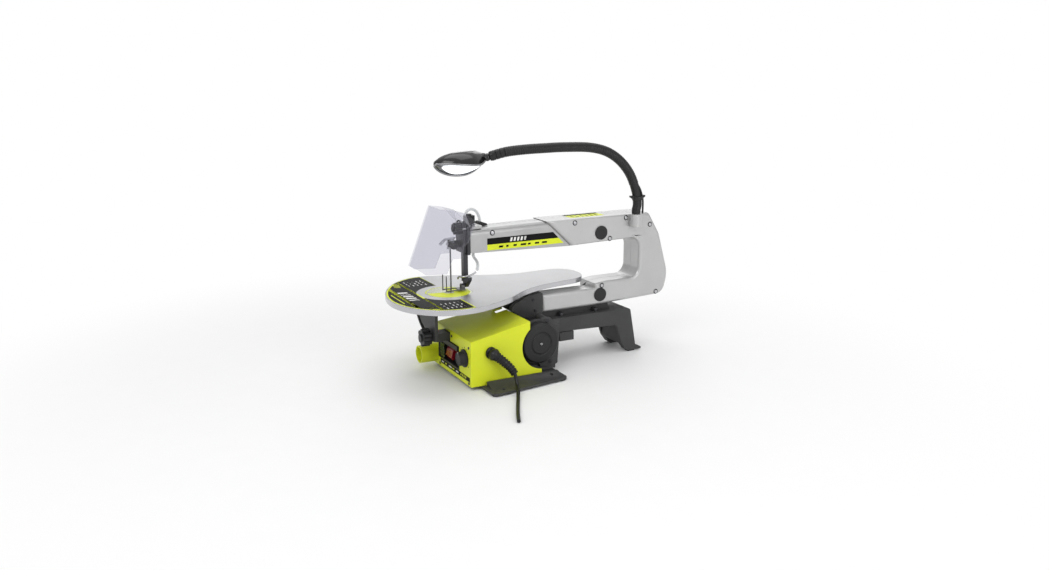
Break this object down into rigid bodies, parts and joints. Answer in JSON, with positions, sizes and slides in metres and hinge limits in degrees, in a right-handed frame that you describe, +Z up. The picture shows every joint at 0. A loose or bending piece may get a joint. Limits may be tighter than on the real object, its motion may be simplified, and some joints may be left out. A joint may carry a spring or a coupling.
{
  "type": "scroll saw",
  "caption": "Parallel-arm scroll saw with a C-shaped housing, tilting oval table, drop foot, clear guard, variable-speed control and a gooseneck lamp.",
  "frame": {"origin": "on the bench plane, vertically below the blade line", "axes": "+X to the operator's right, +Y to the rear of the saw, +Z up"},
  "size_m": [0.4429, 0.6068, 0.4376],
  "materials": {
    "cast_grey": "satin powder coat on a dark grey casting",
    "silver": "satin silver paint",
    "lime": "moulded lime green plastic",
    "black_plastic": "moulded black plastic",
    "gloss_black": "glossy black plastic",
    "grey_plastic": "moulded grey plastic",
    "rubber": "soft black rubber",
    "table_metal": "ground aluminium",
    "insert": "brushed aluminium",
    "steel": "brushed steel",
    "dark_steel": "blackened steel",
    "bronze": "sintered bronze",
    "red": "dark red plastic",
    "clear": "clear polycarbonate",
    "lens": "frosted lamp lens",
    "chrome": "polished",
    "copper": "varnished windings and laminations",
    "board": "circuit board",
    "clear_hose": "clear vinyl hose"
  },
  "bodies": {
    "frame": {"air_hose": "clear_hose", "arm_cover_left": "silver", "arm_cover_right": "silver", "base_bolts": "dark_steel", "base_casting": "cast_grey", "cable_gland": "rubber", "case_screws": "dark_steel", "dust_port": "lime", "front_bracket": "cast_grey", "front_cover": "lime", "housing_left": "silver", "housing_right": "silver", "lamp_socket": "silver", "motor_body": "copper", "motor_bracket": "cast_grey", "motor_end_cover": "black_plastic", "nose_bracket": "black_plastic", "nose_cap": "silver", "pivot_caps": "black_plastic", "pivot_pins": "steel", "power_cord": "rubber", "rubber_feet": "rubber", "speed_board": "board", "switch_housing": "black_plastic", "tilt_pointer": "red", "trunnion_bracket": "cast_grey"},
    "upper_rocker": {"upper_arm": "cast_grey", "upper_bush": "bronze"},
    "lower_rocker": {"lower_arm": "cast_grey", "lower_bush": "bronze", "crosshead_pin": "steel"},
    "tension_link": {"rear_link": "steel"},
    "drive_rod": {"con_rod": "steel"},
    "rotor": {"motor_rotor": "steel", "crank_disc": "steel", "motor_fan": "black_plastic"},
    "blade_set": {"blade": "steel", "upper_clamp": "dark_steel", "lower_clamp": "dark_steel"},
    "upper_thumb_screw": {"upper_clamp_screw": "black_plastic"},
    "lower_thumb_screw": {"lower_clamp_screw": "black_plastic"},
    "release_lever": {"blade_release_lever": "steel"},
    "drop_foot": {"foot_bar": "dark_steel", "blower_pipe": "steel"},
    "foot": {"foot_fork": "dark_steel"},
    "foot_lock": {"foot_lock_knob": "black_plastic"},
    "tension_adjuster": {"tension_knob": "black_plastic"},
    "quick_lever": {"tension_lever": "black_plastic"},
    "shield": {"blade_shield": "clear"},
    "tilting_table": {"table": "table_metal", "table_insert": "insert", "trunnion": "cast_grey"},
    "table_lock": {"table_lock_knob": "black_plastic"},
    "speed_dial": {"speed_knob": "black_plastic"},
    "switch": {"switch_paddle": "red"},
    "lamp_stalk": {"gooseneck": "rubber"},
    "lamp_head": {"lamp_shell": "gloss_black", "lamp_bezel": "chrome", "lamp_lens": "lens"}
  },
  "joints": [
    {"name": "lower_arm_rock", "type": "hinge", "parent": "frame", "child": "lower_rocker", "pos_m": [0, 0.314, 0.1275], "axis": [1, 0, 0], "range_deg": [-1.37, 1.37]},
    {"name": "upper_arm_rock", "type": "hinge", "parent": "frame", "child": "upper_rocker", "pos_m": [0, 0.314, 0.2545], "axis": [1, 0, 0], "range_deg": [-1.37, 1.37]},
    {"name": "blade_follow", "type": "hinge", "parent": "lower_rocker", "child": "blade_set", "pos_m": [0, 0, 0.1275], "axis": [1, 0, 0], "range_deg": [-1.37, 1.37]},
    {"name": "tension_link_follow", "type": "hinge", "parent": "lower_rocker", "child": "tension_link", "pos_m": [0, 0.425, 0.1275], "axis": [1, 0, 0], "range_deg": [-1.37, 1.37]},
    {"name": "drive_rod_follow", "type": "hinge", "parent": "lower_rocker", "child": "drive_rod", "pos_m": [0.0125, 0.1415, 0.1275], "axis": [1, 0, 0], "range_deg": [-1.37, 1.37]},
    {"name": "motor_spin", "type": "hinge", "parent": "frame", "child": "rotor", "pos_m": [0.05, 0.1415, 0.066], "axis": [1, 0, 0], "continuous": true},
    {"name": "table_tilt", "type": "hinge", "parent": "frame", "child": "tilting_table", "pos_m": [0, 0, 0.163], "axis": [0, -1, 0], "range_deg": [0, 45]},
    {"name": "foot_slide", "type": "slide", "parent": "frame", "child": "drop_foot", "axis": [0, 0, 1], "range_m": [0, 0.044]},
    {"name": "foot_tilt", "type": "hinge", "parent": "drop_foot", "child": "foot", "pos_m": [0, 0.024, 0.172], "axis": [0, -1, 0], "range_deg": [0, 45]},
    {"name": "foot_lock_turn", "type": "hinge", "parent": "frame", "child": "foot_lock", "pos_m": [0.0145, 0.008, 0.286], "axis": [0, -1, 0], "range_deg": [-180, 180]},
    {"name": "tension_turn", "type": "hinge", "parent": "frame", "child": "tension_adjuster", "pos_m": [-0.008, 0.043, 0.296], "axis": [0, 0, 1], "range_deg": [-180, 180]},
    {"name": "quick_lever_flip", "type": "hinge", "parent": "frame", "child": "quick_lever", "pos_m": [-0.008, 0.0615, 0.2875], "axis": [1, 0, 0], "range_deg": [0, 80]},
    {"name": "upper_thumb_turn", "type": "hinge", "parent": "blade_set", "child": "upper_thumb_screw", "pos_m": [0.01, 0, 0.2545], "axis": [1, 0, 0], "range_deg": [-360, 360]},
    {"name": "lower_thumb_turn", "type": "hinge", "parent": "blade_set", "child": "lower_thumb_screw", "pos_m": [0.01, 0, 0.1275], "axis": [1, 0, 0], "range_deg": [-360, 360]},
    {"name": "release_lever_lift", "type": "hinge", "parent": "blade_set", "child": "release_lever", "pos_m": [0, 0.007, 0.266], "axis": [1, 0, 0], "range_deg": [-55, 0]},
    {"name": "shield_lift", "type": "hinge", "parent": "frame", "child": "shield", "pos_m": [0, 0.0295, 0.29], "axis": [1, 0, 0], "range_deg": [-60, 0]},
    {"name": "table_lock_turn", "type": "hinge", "parent": "frame", "child": "table_lock", "pos_m": [0, -0.05, 0.081], "axis": [0, -1, 0], "range_deg": [-180, 180]},
    {"name": "speed_turn", "type": "hinge", "parent": "frame", "child": "speed_dial", "pos_m": [0.08, -0.015, 0.056], "axis": [0, -1, 0], "range_deg": [-270, 0]},
    {"name": "switch_rock", "type": "hinge", "parent": "frame", "child": "switch", "pos_m": [0.007, -0.001, 0.056], "axis": [1, 0, 0], "range_deg": [-14, 0]},
    {"name": "lamp_swivel", "type": "hinge", "parent": "frame", "child": "lamp_stalk", "pos_m": [0.039, 0.3915, 0.286], "axis": [0, 0, 1], "range_deg": [-60, 60]},
    {"name": "lamp_nod", "type": "hinge", "parent": "lamp_stalk", "child": "lamp_head", "pos_m": [0.016, 0.071, 0.4143], "axis": [1, 0, 0], "range_deg": [-25, 25]}
  ],
  "couplings": [
    {"joint": "upper_arm_rock", "follows": "lower_arm_rock", "ratio": 1},
    {"joint": "blade_follow", "follows": "lower_arm_rock", "ratio": -1},
    {"joint": "tension_link_follow", "follows": "lower_arm_rock", "ratio": -1},
    {"joint": "drive_rod_follow", "follows": "lower_arm_rock", "ratio": -1},
    {"joint": "foot_tilt", "follows": "table_tilt", "ratio": 1}
  ]
}
